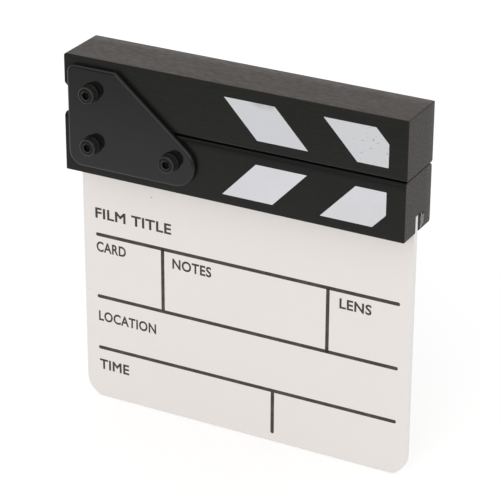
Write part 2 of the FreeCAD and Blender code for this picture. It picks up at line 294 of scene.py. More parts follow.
# %% Lay the floor
FLOOR_SIZE = 12.0
FLOOR_DROP = 0.05 * MM
FLOOR_GREY = rgb(0.92, 0.92, 0.92)
FLOOR_LIFT = rgb(0.3, 0.3, 0.3)
FALL_START = 0.16
FALL_END = 0.5

bpy.ops.object.select_all(action="DESELECT")
bpy.ops.mesh.primitive_plane_add(size=FLOOR_SIZE, location=(0.0, 0.0, cad_low.z - FLOOR_DROP))
floor = bpy.context.object
floor.name = "paper_floor"
paper = bpy.data.materials.new("white_paper")
paper_nodes = Nodes(paper)
paper_place = paper_nodes.node("ShaderNodeTexCoord", output="Object")
fall = paper_nodes.ramp(-1.0 * along(paper_nodes, paper_place, "Y"), FALL_START, FALL_END)
open_side = fall * glossy_rays(paper_nodes) * (1.0 - OPEN_SIDE_GREY)
paper_colour = paper_nodes.colour_between(open_side, FLOOR_GREY, BLACK)
paper_lift = paper_nodes.colour_between(looking_rays(paper_nodes) * (1.0 - open_side), BLACK, FLOOR_LIFT)
paper_surface = paper_nodes.node(
    "ShaderNodeBsdfPrincipled",
    {},
    {
        "Base Color": paper_colour,
        "Roughness": 1.0,
        "Specular IOR Level": 0.0,
        "Emission Color": paper_lift,
        "Emission Strength": 1.0,
    },
)
paper_nodes.node("ShaderNodeOutputMaterial", {}, {"Surface": paper_surface})
floor.data.materials.append(paper)
print("floor lies at", round(floor.location.z / MM, 2), "mm")

# %% [markdown]
# Black paint on wood. The sticks are sawn from close-grained wood and sprayed with a satin black. The
# paint is thin, so the grain still shows as fine streaks along the stick and as specks on its sawn
# ends. A picture of wood could be wrapped round each stick, but then every face would need its own
# layout. Noise that is read in the stick's own space and stretched along X gives both at once: streaks
# on the long faces and specks on the ends, as cutting real wood does.
# The two broad faces and the faces that clap together get a second coat, which fills the grain. On the
# other edges and the ends the brown of the wood still warms the black, and towards the back they are
# painted paler, a painted highlight for the bright room behind. So the coat is chosen by which way a
# surface faces and by how near it is to where the sticks meet. The lower stick, which hands touch less, is
# kept a deeper black, and the lip under the joint is painted darker as a painted shadow of the upper stick.

# %% A helper for finishes
def finish(name, surface):
    """A material whose surface is what the given function makes out of an empty node tree."""
    material = bpy.data.materials.new(name)
    nodes = Nodes(material)
    place = nodes.node("ShaderNodeTexCoord", output="Object")
    nodes.node("ShaderNodeOutputMaterial", {}, {"Surface": surface(nodes, place)})
    print("finish", name, "has", len(nodes.tree.nodes), "nodes")
    return material


print("a finish is a material with a surface of its own")

# %% Measures of the paint
GRAIN_PER_METRE = (55.0, 1500.0, 1500.0)
PORES_PER_METRE = (140.0, 3600.0, 3600.0)
DRIFT_PER_METRE = (12.0, 90.0, 90.0)
FLECK_PER_METRE = (320.0, 1000.0, 1000.0)
PAINT_DARK = rgb(0.0074, 0.0074, 0.0062)
PAINT_LIGHT = rgb(0.01, 0.0099, 0.0086)
PAINT_DEEP_BLACK_AND_SHADOW = rgb(0.001, 0.001, 0.0009)
THIN_DARK = rgb(0.0125, 0.0073, 0.0039)
THIN_LIGHT = rgb(0.0285, 0.0172, 0.0098)
THIN_BACK_GLOW = rgb(0.072, 0.06, 0.053)
GLOW_START = 5.0 * MM
GLOW_END = 12.5 * MM
PAINT_ROUGHNESS = 0.44
PAINT_MIRROR = 0.25
PAINT_DEPTH = 0.05 * MM
CLAP_BAND = 1.2 * MM
CLAP_FADE = 0.4 * MM
SHADOW_BAND = 4.5 * MM
LOWER_BLACK = 0.3
TOUCH = 0.001 * MM
PORE_EDGE = (0.58, 0.74)
TONE_EDGE = (0.4, 0.6)
FACE_EDGE = (0.4, 0.8)
SHADOW_EDGE = (-1.0 * SHADOW_BAND, -0.3 * SHADOW_BAND)
clap_level = (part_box("lower_stick")[1].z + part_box("upper_stick")[0].z) / 2
print("the sticks meet at", round(clap_level / MM, 2), "mm")


# %% The paint on the sticks
def black_paint_on_wood(nodes, place):
    grain = nodes.noise(place, GRAIN_PER_METRE, detail=4.0)
    pores = nodes.ramp(nodes.noise(place, PORES_PER_METRE), *PORE_EDGE)
    drift = nodes.noise(place, DRIFT_PER_METRE)
    fleck = nodes.noise(place, FLECK_PER_METRE, detail=3.0)
    tone = nodes.ramp(grain * 0.35 + fleck * 0.5 + drift * 0.15, *TONE_EDGE) - pores * 0.4
    broad = nodes.ramp(abs(along(nodes, nodes.facing(), "Y")), *FACE_EDGE)
    sawn = nodes.ramp(abs(along(nodes, nodes.facing(), "X")), *FACE_EDGE)
    level = along(nodes, place, "Z") - clap_level
    near_clap = 1.0 - nodes.ramp(abs(level), CLAP_BAND, CLAP_BAND + CLAP_FADE)
    second_coat = 1.0 - (1.0 - broad) * (1.0 - near_clap * (1.0 - sawn))
    lower = 1.0 - nodes.ramp(level, 0.0, TOUCH)
    # painted shadow: the lower stick is painted darker just under the joint, where the upper stick shades it
    joint_shadow = nodes.ramp(level, *SHADOW_EDGE) * lower
    # painted highlight: the thin coat is painted paler towards the back edge, for the bright room behind
    back_glow = nodes.ramp(along(nodes, place, "Y"), GLOW_START, GLOW_END) * (1.0 - 0.6 * sawn)
    thin = nodes.colour_between(tone, THIN_DARK, THIN_LIGHT)
    thin = nodes.colour_between(sawn * 0.8, thin, THIN_DARK)
    thin = nodes.colour_between(back_glow, thin, THIN_BACK_GLOW)
    thick = nodes.colour_between(tone, PAINT_DARK, PAINT_LIGHT)
    thick = nodes.colour_between(lower * LOWER_BLACK, thick, PAINT_DEEP_BLACK_AND_SHADOW)
    thick = nodes.colour_between(joint_shadow, thick, PAINT_DEEP_BLACK_AND_SHADOW)
    uneven = 1.0 - 0.8 * broad
    sheen = (grain - 0.5) * 0.3 + (fleck - 0.5) * 0.5 + pores * 0.1
    height = grain * 0.7 - pores * 0.5
    return nodes.surface(
        nodes.colour_between(second_coat, thin, thick),
        PAINT_ROUGHNESS + sheen * uneven - broad * 0.14,
        PAINT_MIRROR,
        nodes.bump(height * uneven, PAINT_DEPTH, 0.7),
    )


stick_finish = finish("black_paint_on_wood", black_paint_on_wood)

# %% [markdown]
# Powder coat. The hinge plates are steel, coated with black powder that is baked until it flows. It
# never flows quite flat: seen close, it has the skin of an orange. Two noises make that skin, a fine
# one for the skin itself and a slow one for the patches where the coat is thicker and shinier. Over the
# rounded rim the powder pulls thin and stays duller.

# %% The coat on the plates
PEEL_PER_METRE = (2600.0, 2600.0, 2600.0)
COAT_PATCH_PER_METRE = (70.0, 70.0, 70.0)
COAT_DARK = rgb(0.004, 0.004, 0.004)
COAT_LIGHT = rgb(0.009, 0.0089, 0.0087)
COAT_ROUGHNESS = 0.1
COAT_MIRROR = 0.39
PEEL_DEPTH = 0.008 * MM
COAT_RIM_EDGE = (0.7, 0.99)


def black_powder_coat(nodes, place):
    peel = nodes.noise(place, PEEL_PER_METRE)
    patch = nodes.noise(place, COAT_PATCH_PER_METRE)
    rim = 1.0 - nodes.ramp(abs(along(nodes, nodes.facing(), "Y")), *COAT_RIM_EDGE)
    return nodes.surface(
        nodes.colour_between(peel * 0.5 + patch * 0.5, COAT_DARK, COAT_LIGHT),
        COAT_ROUGHNESS + (patch - 0.5) * 0.06 + (peel - 0.5) * 0.04 + rim * 0.22,
        COAT_MIRROR,
        nodes.bump(peel, PEEL_DEPTH, 0.5),
    )


plate_finish = finish("black_powder_coat", black_powder_coat)

# %% [markdown]
# Black oxide. The screws, spring washers and nuts are steel that was blackened in a hot salt bath. The
# layer is thinner than paint, so it is a dark metal more than a colour, and a little blotchy. Metallic
# is set part of the way up for that. They were tumbled in a drum, which rubs the rims and sides paler
# than the flat faces, and that paler colour is pushed further as a painted highlight on the rims.

# %% The blackening on the fasteners
BLOTCH_PER_METRE = (900.0, 900.0, 900.0)
RUB_PER_METRE = (5200.0, 5200.0, 5200.0)
OXIDE_DARK = rgb(0.004, 0.004, 0.004)
OXIDE_LIGHT = rgb(0.01, 0.0099, 0.0095)
OXIDE_RUB_AND_HIGHLIGHT = rgb(0.04, 0.0395, 0.0375)
OXIDE_ROUGHNESS = 0.36
OXIDE_MIRROR = 0.3
OXIDE_METALLIC = 0.3
OXIDE_DEPTH = 0.008 * MM
OXIDE_RIM_EDGE = (0.75, 0.99)
BLOTCH_EDGE = (0.35, 0.7)


def black_oxide(nodes, place):
    blotch = nodes.noise(place, BLOTCH_PER_METRE, detail=3.0)
    rub = nodes.noise(place, RUB_PER_METRE)
    # painted highlight: rims and sides are painted paler, partly drum wear and partly a painted highlight
    rim = 1.0 - nodes.ramp(abs(along(nodes, nodes.facing(), "Y")), *OXIDE_RIM_EDGE)
    black = nodes.colour_between(nodes.ramp(blotch, *BLOTCH_EDGE), OXIDE_DARK, OXIDE_LIGHT)
    return nodes.surface(
        nodes.colour_between(rim, black, OXIDE_RUB_AND_HIGHLIGHT),
        OXIDE_ROUGHNESS + (blotch - 0.5) * 0.2 + (rub - 0.5) * 0.1 - rim * 0.08,
        OXIDE_MIRROR,
        nodes.bump(rub, OXIDE_DEPTH, 0.5),
        Metallic=OXIDE_METALLIC,
    )


fastener_finish = finish("black_oxide", black_oxide)

# %% [markdown]
# The flat washers are phosphated instead, which leaves a soot black without any shine. The screws'
# sockets get the same soot black as a painted shade, for the shade deep in the recess.

# %% The soot black of washers and the painted shade of sockets
SOOT_AND_SHADE_DARK = rgb(0.0015, 0.0015, 0.0015)
SOOT_AND_SHADE_LIGHT = rgb(0.006, 0.006, 0.0058)
SOOT_ROUGHNESS = 0.6
SOOT_MIRROR = 0.12


def soot_black_and_shade(nodes, place):
    blotch = nodes.noise(place, BLOTCH_PER_METRE, detail=3.0)
    return nodes.surface(
        nodes.colour_between(nodes.ramp(blotch, *BLOTCH_EDGE), SOOT_AND_SHADE_DARK, SOOT_AND_SHADE_LIGHT),
        SOOT_ROUGHNESS + (blotch - 0.5) * 0.2,
        SOOT_MIRROR,
        nodes.bump(blotch, OXIDE_DEPTH, 0.5),
    )


soot_and_shade_finish = finish("soot_black_and_shade", soot_black_and_shade)

# %% [markdown]
# The writing board is white acrylic sheet. It has no grain, but it isn't one flat white either: the
# sheet has a very faint cloudiness, its sheen changes where a cloth has wiped it, a few specks of dust
# have stuck to it, and a pen has left one dot. The wipes are noise that is stretched one way and turned,
# and they only change the roughness, as real wipe marks do. The sawn edges gather the light that runs
# inside the sheet, so they look whiter than its face.

# %% Measures of the board
CLOUD_PER_METRE = (25.0, 25.0, 25.0)
WIPE_PER_METRE = (40.0, 900.0, 900.0)
WIPE_TURN = (0.0, math.radians(24.0), 0.0)
DUST_PER_METRE = (420.0, 420.0, 420.0)
BOARD_WHITE = rgb(0.785, 0.745, 0.718)
BOARD_CLOUD = rgb(0.8, 0.76, 0.733)
BOARD_EDGE = rgb(0.9, 0.885, 0.875)
BOARD_DUST = rgb(0.5, 0.48, 0.46)
PEN_DOT = rgb(0.3, 0.27, 0.25)
PEN_DOT_PLACE = (-41.65 * MM, -1.5 * MM, 98.1 * MM)
PEN_DOT_RADIUS = 0.42 * MM
BOARD_ROUGHNESS = 0.3
BOARD_MIRROR = 0.4
CLOUD_DEPTH = 0.02 * MM
DUST_EDGE = (0.79, 0.83)
SAWN_EDGE = (0.3, 0.8)
SPOT_CORE_SHARE = 0.3
print("the board's clouds are", round(1.0 / CLOUD_PER_METRE[0] / MM), "mm wide")


# %% The white of the board
def soft_spot(nodes, place, middle, radius, squeeze=1.0):
    """1 in the middle of a spot, fading to 0 at its radius, and sooner upwards if it is squeezed."""
    flat = Vector((1.0, 1.0, squeeze))
    squeezed = nodes.node("ShaderNodeVectorMath", {"operation": "MULTIPLY"}, {0: place, 1: tuple(flat)})
    flat_middle = tuple(flat * Vector(middle))
    way = nodes.node("ShaderNodeVectorMath", {"operation": "DISTANCE"}, {0: squeezed, 1: flat_middle})
    return 1.0 - nodes.ramp(way, SPOT_CORE_SHARE * radius, radius)


def acrylic_sheet(nodes, place):
    cloud = nodes.noise(place, CLOUD_PER_METRE)
    turned = nodes.node("ShaderNodeMapping", {}, {"Vector": place, "Rotation": WIPE_TURN})
    wipe = nodes.noise(turned, WIPE_PER_METRE, detail=3.0)
    dust = nodes.ramp(nodes.noise(place, DUST_PER_METRE), *DUST_EDGE)
    dot = soft_spot(nodes, place, PEN_DOT_PLACE, PEN_DOT_RADIUS)
    edge = 1.0 - nodes.ramp(abs(along(nodes, nodes.facing(), "Y")), *SAWN_EDGE)
    white = nodes.colour_between(cloud, BOARD_WHITE, BOARD_CLOUD)
    white = nodes.colour_between(edge, white, BOARD_EDGE)
    white = nodes.colour_between(dot, white, PEN_DOT)
    return nodes.surface(
        nodes.colour_between(dust * 0.5, white, BOARD_DUST),
        BOARD_ROUGHNESS + (wipe - 0.5) * 0.1 + dust * 0.2,
        BOARD_MIRROR,
        nodes.bump(cloud, CLOUD_DEPTH, 0.3),
    )


board_finish = finish("acrylic_sheet", acrylic_sheet)

# %% [markdown]
# The glue in the slot has cured to a cloudy grey. It shows as a thin line beside the board and as
# a smear on the end of the stick, so it gets a lumpy, half-shiny surface.

# %% The cured glue
GLUE_LUMP_PER_METRE = (1300.0, 1300.0, 1300.0)
GLUE_DARK = rgb(0.05, 0.045, 0.04)
GLUE_PALE = rgb(0.27, 0.248, 0.23)
GLUE_ROUGHNESS = 0.4
GLUE_MIRROR = 0.5
GLUE_DEPTH = 0.06 * MM
LUMP_EDGE = (0.35, 0.65)


def cloudy_glue(nodes, place):
    lump = nodes.noise(place, GLUE_LUMP_PER_METRE, detail=3.0)
    return nodes.surface(
        nodes.colour_between(nodes.ramp(lump, *LUMP_EDGE), GLUE_DARK, GLUE_PALE),
        GLUE_ROUGHNESS + (lump - 0.5) * 0.3,
        GLUE_MIRROR,
        nodes.bump(lump, GLUE_DEPTH, 0.6),
    )


glue_finish = finish("cloudy_glue", cloudy_glue)

# %% [markdown]
# The finishes go onto the solids whose shape is already right: the two sticks, the board, its glue and
# the two hinge plates. Their meshes stay as they are and only the material slot changes.

# %% Dress the solids
DRESSING = {
    "upper_stick": stick_finish,
    "lower_stick": stick_finish,
    "slate_board": board_finish,
    "board_adhesive": glue_finish,
    "front_hinge_plate": plate_finish,
    "rear_hinge_plate": plate_finish,
}


def coat(piece, material):
    """Takes a piece's old finish off and gives it another one."""
    piece.data.materials.clear()
    piece.data.materials.append(material)


for node_name, material in DRESSING.items():
    coat(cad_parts[node_name], material)
    print(node_name, "wears", material.name)

# %% [markdown]
# Modelling. A piece is made here the way it is made by hand: add a simple shape where it belongs, go
# into edit mode, select, extrude, scale and bevel. Two habits keep that safe in a script. Everything is
# deselected before a shape is added, because an operator acts on all that is selected, and the place of
# the shape goes into its mesh at once, so that a vertex's numbers are its place in the frame.

# %% Begin a piece and select in it
def settle():
    """Puts the place, the turn and the scale of the selected piece into its mesh."""
    bpy.ops.object.transform_apply(location=True, rotation=True, scale=True)


def begin(name, add, **sizes):
    """Adds a shape at its size and place, alone and all selected, and goes into edit mode."""
    bpy.ops.object.select_all(action="DESELECT")
    add(**sizes)
    piece = bpy.context.object
    piece.name = name
    settle()
    bpy.ops.object.mode_set(mode="EDIT")
    return piece


def take(piece):
    """Selects one piece alone and makes it the active one."""
    bpy.ops.object.select_all(action="DESELECT")
    bpy.context.view_layer.objects.active = piece
    piece.select_set(True)


def middle(part):
    """The middle of a vertex, an edge or a face."""
    corners = [part] if isinstance(part, bmesh.types.BMVert) else part.verts
    return sum((corner.co for corner in corners), Vector()) / len(corners)


def pick(piece, kind, test):
    """In edit mode, selects only the vertices, edges or faces whose middle passes the test."""
    bpy.ops.mesh.select_mode(type=kind)
    bpy.ops.mesh.select_all(action="DESELECT")
    mesh = bmesh.from_edit_mesh(piece.data)
    for part in {"VERT": mesh.verts, "EDGE": mesh.edges, "FACE": mesh.faces}[kind]:
        if test(middle(part)):
            part.select_set(True)
    mesh.select_flush_mode()
    bmesh.update_edit_mesh(piece.data)


print("pieces are begun in edit mode and picked by place")


# %% Extrude a piece and end it
def extrude(move, widen=1.0):
    """Extrudes what is selected and makes the new end wider or narrower about the Y axis."""
    bpy.ops.mesh.extrude_region_move(TRANSFORM_OT_translate={"value": move})
    bpy.ops.transform.resize(value=(widen, 1.0, widen), center_override=(0.0, 0.0, 0.0))


def end(piece):
    """Closes the seams, turns the faces outwards and leaves edit mode."""
    bpy.ops.mesh.select_all(action="SELECT")
    bpy.ops.mesh.remove_doubles(threshold=TOUCH)
    bpy.ops.mesh.normals_make_consistent(inside=False)
    bpy.ops.object.mode_set(mode="OBJECT")
    return piece


def say(piece):
    """Prints a finished piece's faces, its box and how many of its edges are open."""
    mesh = bmesh.new()
    mesh.from_mesh(piece.data)
    open_edges = sum(not edge.is_manifold for edge in mesh.edges)
    volume = mesh.calc_volume(signed=True)
    mesh.free()
    corners = [Vector(corner) / MM for corner in piece.bound_box]
    size = [round(max(c[i] for c in corners) - min(c[i] for c in corners), 2) for i in range(3)]
    print(piece.name, len(piece.data.polygons), "faces,", size, "mm,", open_edges, "open edges,",
          round(volume / MM ** 3, 3), "cubic mm")


def wear(piece, material, body):
    """Gives a finished piece its finish and the body that it moves with."""
    if material:
        coat(piece, material)
    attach(piece, body)
    say(piece)


print("pieces are extruded, ended, coated and carried by a body")

# %% [markdown]
# White ink. The stripes on the sticks are screen printed, so they are a film of ink with sharp edges
# that lies on the paint. A material alone could draw them, but a film has an edge that catches light,
# and it stays with its stick when the stick swings. The upper stick's ink is painted greyer than the
# lower stick's, a painted shade for the light from the floor, which reaches it less. The upper stick is
# the one that hands touch: near its end the ink has pinholes where the black shows through, and a thumb
# has smudged one edge. The smudge and the worn patch are soft spots round two places on the stick's face.

# %% The white ink
INK_CLOUD_PER_METRE = (60.0, 60.0, 60.0)
PINHOLE_PER_METRE = (850.0, 850.0, 850.0)
INK_WHITE = rgb(0.658, 0.656, 0.688)
INK_SHADED = rgb(0.588, 0.593, 0.615)
INK_THIN = rgb(0.6, 0.602, 0.612)
INK_HOLE = rgb(0.24, 0.24, 0.22)
INK_SMUDGE = rgb(0.3, 0.3, 0.3)
INK_ROUGHNESS = 0.5
INK_MIRROR = 0.3
INK_DEPTH = 0.02 * MM
PINHOLE_EDGE = (0.62, 0.75)
SMUDGE_EDGE = (0.25, 0.45)
INK_CLOUD_EDGE = (0.3, 0.7)
stick_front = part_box("upper_stick")[0].y
WORN_PLACE = (59.5 * MM, stick_front, 144.5 * MM)
WORN_RADIUS = 15.0 * MM
SMUDGE_PLACE = (14.6 * MM, stick_front, 153.0 * MM)
SMUDGE_RADIUS = 7.0 * MM
SMUDGE_SQUEEZE = 2.4


def white_ink(nodes, place):
    cloud = nodes.noise(place, INK_CLOUD_PER_METRE, detail=3.0)
    pinhole = nodes.noise(place, PINHOLE_PER_METRE)
    holes = nodes.ramp(pinhole, *PINHOLE_EDGE) * soft_spot(nodes, place, WORN_PLACE, WORN_RADIUS)
    thumb = soft_spot(nodes, place, SMUDGE_PLACE, SMUDGE_RADIUS, SMUDGE_SQUEEZE)
    smudge = nodes.ramp(cloud, *SMUDGE_EDGE) * thumb
    # painted shade: the ink above the joint, on the upper stick, is painted greyer than the lower stick's
    upper_shade = nodes.ramp(along(nodes, place, "Z"), clap_level - TOUCH, clap_level + TOUCH)
    white = nodes.colour_between(upper_shade, INK_WHITE, INK_SHADED)
    white = nodes.colour_between(nodes.ramp(cloud, *INK_CLOUD_EDGE) * 0.5, white, INK_THIN)
    white = nodes.colour_between(smudge * 0.6, white, INK_SMUDGE)
    return nodes.surface(
        nodes.colour_between(holes, white, INK_HOLE),
        INK_ROUGHNESS + (cloud - 0.5) * 0.2,
        INK_MIRROR,
        nodes.bump(cloud - holes * 0.6, INK_DEPTH, 0.5),
    )


white_ink_finish = finish("white_ink", white_ink)

# %% [markdown]
# The stripes. Each stick has two: a full one and one that the printer's frame cuts off near the end.
# Those on the upper stick lean one way and those on the lower stick the other, so that they make
# arrow heads when the sticks are shut. A stripe starts as a flat square: it is scaled, its top edge is
# pushed sideways, the plane of the frame's end bisects it, its corners are rounded, and one extrusion
# gives the film its thickness. It starts a hair inside the paint, so no two faces share a plane.

# %% Where the stripes go
INK_THICKNESS = 0.03 * MM
INK_BITE = 0.02 * MM
STRIPE_CORNER = 0.2 * MM
CORNER_STEPS = 3
STRIPE_STEP = 42.6 * MM
STRIPES_PER_STICK = 2
STRIPE_SETS = {
    "upper": {
        "node": "upper_stick",
        "body": "clapper",
        "start": 11.75 * MM,
        "width": 21.9 * MM,
        "lean": -14.45 * MM,
        "low": 137.4 * MM,
        "high": 152.87 * MM,
        "frame_end": 67.28 * MM,
    },
    "lower": {
        "node": "lower_stick",
        "body": "slate",
        "start": -3.42 * MM,
        "width": 22.05 * MM,
        "lean": 14.75 * MM,
        "low": 111.95 * MM,
        "high": 127.4 * MM,
        "frame_end": 66.86 * MM,
    },
}
print("stripes repeat every", round(STRIPE_STEP / MM, 2), "mm")


# %% Print the stripes
def raise_film(piece, corner):
    """Rounds the corners of a flat film and gives it its thickness towards the front."""
    bpy.ops.mesh.select_all(action="SELECT")
    bpy.ops.mesh.bevel(offset=corner, segments=CORNER_STEPS, affect="VERTICES")
    bpy.ops.mesh.select_all(action="SELECT")
    extrude((0.0, -INK_THICKNESS - INK_BITE, 0.0))
    return end(piece)


def flat_film(name, left, right, low, high, face):
    """A flat upright rectangle just inside a face that looks along -Y."""
    spot = ((left + right) / 2, face + INK_BITE, (low + high) / 2)
    piece = begin(
        name,
        bpy.ops.mesh.primitive_plane_add,
        size=right - left,
        location=spot,
        rotation=(math.pi / 2, 0.0, 0.0),
    )
    bpy.ops.transform.resize(value=(1.0, 1.0, (high - low) / (right - left)), center_override=spot)
    return piece


def print_stripe(name, stripe, number):
    """A leaning stripe that ends where the printer's frame ends."""
    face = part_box(stripe["node"])[0].y
    left = stripe["start"] + number * STRIPE_STEP
    low, high = stripe["low"], stripe["high"]
    piece = flat_film(name, left, left + stripe["width"], low, high, face)
    pick(piece, "VERT", lambda spot: spot.z > high - TOUCH)
    bpy.ops.transform.translate(value=(stripe["lean"], 0.0, 0.0))
    bpy.ops.mesh.select_all(action="SELECT")
    bpy.ops.mesh.bisect(plane_co=(stripe["frame_end"], 0, 0), plane_no=(1, 0, 0), clear_outer=True)
    return raise_film(piece, STRIPE_CORNER)


for side, stripe in STRIPE_SETS.items():
    for number in range(STRIPES_PER_STICK):
        film = print_stripe(f"{side}_stripe_{number + 1}", stripe, number)
        wear(film, white_ink_finish, stripe["body"])

# %% [markdown]
# Black ink. The lines and field words on the board are printed too. Screen ink that has dried on
# plastic is a very dark grey rather than black, and not quite even: it is a little thinner here and
# there, and half shiny.

# %% The black ink
BLACK_INK_PER_METRE = (350.0, 350.0, 350.0)
BLACK_INK = rgb(0.03, 0.0257, 0.0228)
BLACK_INK_THIN = rgb(0.06, 0.0505, 0.044)
BLACK_INK_ROUGHNESS = 0.42
BLACK_INK_MIRROR = 0.4
BLACK_INK_DEPTH = 0.01 * MM
COVER_EDGE = (0.35, 0.75)


def black_ink(nodes, place):
    cover = nodes.noise(place, BLACK_INK_PER_METRE, detail=3.0)
    return nodes.surface(
        nodes.colour_between(nodes.ramp(cover, *COVER_EDGE), BLACK_INK, BLACK_INK_THIN),
        BLACK_INK_ROUGHNESS + (cover - 0.5) * 0.2,
        BLACK_INK_MIRROR,
        nodes.bump(cover, BLACK_INK_DEPTH, 0.5),
    )


black_ink_finish = finish("black_ink", black_ink)

# %% [markdown]
# The lines divide the board into fields. Their ends are round, as a screen printer draws them. Each is
# a flat film like the stripes, with corners that are rounded by nearly half its width. The screen lay
# a touch crooked on the board, so the right end of each long line is pushed up by part of a millimetre.

# %% Print the lines
LINE_WIDTH = 1.55 * MM
LINE_ROUND_SHARE = 0.45
LINE_LEFT = -68.5 * MM
LINE_RIGHT = 69.45 * MM
LINE_LEVELS = {"top": 75.92 * MM, "middle": 47.4 * MM, "bottom": 23.27 * MM}
LINE_RISES = {"top": 0.32 * MM, "middle": 0.48 * MM, "bottom": 0.66 * MM}
UPRIGHTS = {"left": -36.88 * MM, "right": 38.28 * MM}
FOOT_UPRIGHT = 14.14 * MM
FOOT_UPRIGHT_END = 3.7 * MM
board_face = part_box("slate_board")[0].y


def print_line(name, left, right, low, high, rise=0.0):
    """A line with round ends on the board's face, whose right end may be pushed up."""
    line = flat_film(name, left, right, low, high, board_face)
    pick(line, "VERT", lambda spot: spot.x > (left + right) / 2)
    bpy.ops.transform.translate(value=(0.0, 0.0, rise))
    wear(raise_film(line, LINE_WIDTH * LINE_ROUND_SHARE), black_ink_finish, "slate")


half_line = LINE_WIDTH / 2
for place_name, level in LINE_LEVELS.items():
    low, high = level - half_line, level + half_line
    print_line(f"board_line_{place_name}", LINE_LEFT, LINE_RIGHT, low, high, LINE_RISES[place_name])
for place_name, x in UPRIGHTS.items():
    low, high = LINE_LEVELS["middle"], LINE_LEVELS["top"]
    print_line(f"board_upright_{place_name}", x - half_line, x + half_line, low, high)
print_line("board_upright_foot", FOOT_UPRIGHT - half_line, FOOT_UPRIGHT + half_line, FOOT_UPRIGHT_END,
           LINE_LEVELS["bottom"])

# %% [markdown]
# The field words tell the crew what to write where. Blender's own letters serve: they are set as text,
# and a bevel round their outline makes them bold without filling their inner corners. Turned into a
# mesh, they are stood up on the board's face at their printed size and pressed as thin as the ink. The
# words are plain ones that any such board could carry.

# %% Where the field words go
WORD_WEIGHT = 0.027
WORD_SPACING = 1.06
LETTER_STEPS = 5
FIELD_WORDS = {
    "film_title": ("FILM TITLE", -68.6, 83.3, -32.7, 88.0),
    "card": ("CARD", -68.4, 68.05, -54.3, 72.75),
    "notes": ("NOTES", -32.3, 68.2, -14.2, 72.9),
    "lens": ("LENS", 43.4, 68.4, 57.4, 73.0),
    "location": ("LOCATION", -68.1, 35.95, -40.4, 40.65),
    "time": ("TIME", -68.2, 13.05, -53.9, 17.75),
}
print(len(FIELD_WORDS), "field words")


# %% Print the field words
def print_word(name, text, left, low, right, high):
    """A word whose letters fill the given box on the board's face, in millimetres."""
    bpy.ops.object.select_all(action="DESELECT")
    bpy.ops.object.text_add()
    word = bpy.context.object
    word.name = name
    word.data.body = text
    word.data.bevel_depth = WORD_WEIGHT
    word.data.bevel_resolution = 0
    word.data.space_character = WORD_SPACING
    word.data.resolution_u = LETTER_STEPS
    bpy.ops.object.convert(target="MESH")
    word = bpy.context.object
    corners = [vertex.co for vertex in word.data.vertices]
    start = Vector((min(c.x for c in corners), min(c.y for c in corners), 0.0))
    reach = Vector((max(c.x for c in corners), max(c.y for c in corners), 0.0)) - start
    word.scale = (
        (right - left) * MM / reach.x,
        (high - low) * MM / reach.y,
        (INK_THICKNESS + INK_BITE) / (2 * WORD_WEIGHT),
    )
    word.rotation_euler = (math.pi / 2, 0.0, 0.0)
    word.location = (
        left * MM - start.x * word.scale.x,
        board_face + (INK_BITE - INK_THICKNESS) / 2,
        low * MM - start.y * word.scale.y,
    )
    settle()
    bpy.ops.object.mode_set(mode="EDIT")
    wear(end(word), black_ink_finish, "slate")


for key, (text, *box) in FIELD_WORDS.items():
    print_word(f"word_{key}", text, *box)

# %% [markdown]
# The lathe. A screw, a nut blank or a drill is round, so it is turned: a disc is extruded along its
# axis from step to step and made wider or narrower at each. Every round piece below starts that way on
# the Y axis, and its finished copies are then carried to the three holes.
# Two solids are combined with a Boolean modifier. It numbers the new corners in another order on each
# run, and which of two close corners is merged into the other depends on that order. So the corners are
# sorted along a slanted line first, and the piece comes out the same every time.

# %% Helpers for round pieces
WELD = 0.008 * MM
SORT_LINE = Vector((1.0, 0.377, 0.0713))


def turn_on_lathe(name, outline, sides):
    """A solid of revolution about the Y axis from its (radius, level) steps, left in edit mode."""
    radius, level = outline[0]
    piece = begin(
        name,
        bpy.ops.mesh.primitive_circle_add,
        vertices=sides,
        radius=radius,
        fill_type="NGON",
        location=(0.0, level, 0.0),
        rotation=(math.pi / 2, 0.0, 0.0),
    )
    for next_radius, next_level in outline[1:]:
        extrude((0.0, next_level - level, 0.0), next_radius / radius)
        radius, level = next_radius, next_level
    return piece


def combine(piece, operation, tool):
    """Joins a tool to a piece, cuts it away or keeps what they share, and puts the tool away."""
    change = piece.modifiers.new("combine", "BOOLEAN")
    change.operation = operation
    change.solver = "EXACT"
    change.object = tool
    take(piece)
    bpy.ops.object.modifier_apply(modifier=change.name)
    bpy.data.objects.remove(tool)
    bpy.ops.object.mode_set(mode="EDIT")
    mesh = bmesh.from_edit_mesh(piece.data)
    mesh.verts.sort(key=lambda corner: corner.co.dot(SORT_LINE))
    bmesh.update_edit_mesh(piece.data)
    bpy.ops.mesh.select_all(action="SELECT")
    bpy.ops.mesh.remove_doubles(threshold=WELD)
    bpy.ops.mesh.dissolve_degenerate(threshold=TOUCH)
    return end(piece)


def radius_of(spot):
    """How far a point lies from the Y axis."""
    return math.hypot(spot.x, spot.z)


def column_of(spot, sides):
    """Which of the lathe's columns a point lies on, counted from +X."""
    return round(math.atan2(spot.z, spot.x) / math.tau * sides) % sides


print("round pieces are turned about Y")

# %% [markdown]
# The screws are low-head socket screws with a knurled rim. The blank is one turning: shank, head,
# chamfer, the countersunk mouth of the socket, its floor and the drill's point. Two things aren't
# round. The socket is a hexagon, so its columns are scaled onto one, twelve columns to a flat. The
# knurl is every second column of the rim, pulled in.

